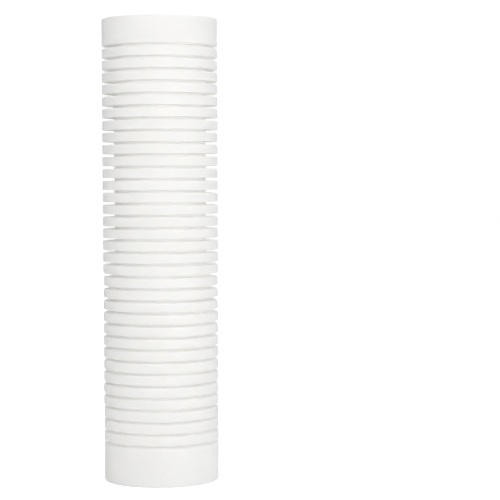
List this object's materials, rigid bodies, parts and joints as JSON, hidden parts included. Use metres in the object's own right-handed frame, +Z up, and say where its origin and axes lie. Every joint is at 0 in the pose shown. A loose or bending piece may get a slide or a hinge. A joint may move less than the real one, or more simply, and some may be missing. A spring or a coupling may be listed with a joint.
{
  "type": "sediment filter cartridge",
  "caption": "Drop-in white sediment filter cartridge: a ring-grooved melt-blown fibre tube on a windowed plastic core, with plain collars and an open bore at both ends.",
  "frame": {"origin": "centre of the lower end face, on the cartridge's axis", "axes": "+Z up along the cartridge's axis, from the end with the longer plain collar to the end with the shorter one; X and Y through two of the core's windows"},
  "size_m": [0.062, 0.062, 0.2476],
  "materials": {
    "coarse_fibre": "matte white melt-blown polypropylene, coarse fibre",
    "medium_fibre": "matte white melt-blown polypropylene, medium fibre",
    "fine_fibre": "matte white melt-blown polypropylene, fine dense fibre",
    "drainage_fibre": "matte white melt-blown polypropylene, open fused fibre",
    "core_plastic": "satin natural white moulded polypropylene"
  },
  "bodies": {
    "root": {"support_core": "core_plastic", "drainage_layer": "drainage_fibre", "fine_filter_layer": "fine_fibre", "medium_filter_layer": "medium_fibre", "grooved_outer_layer": "coarse_fibre"}
  },
  "joints": []
}
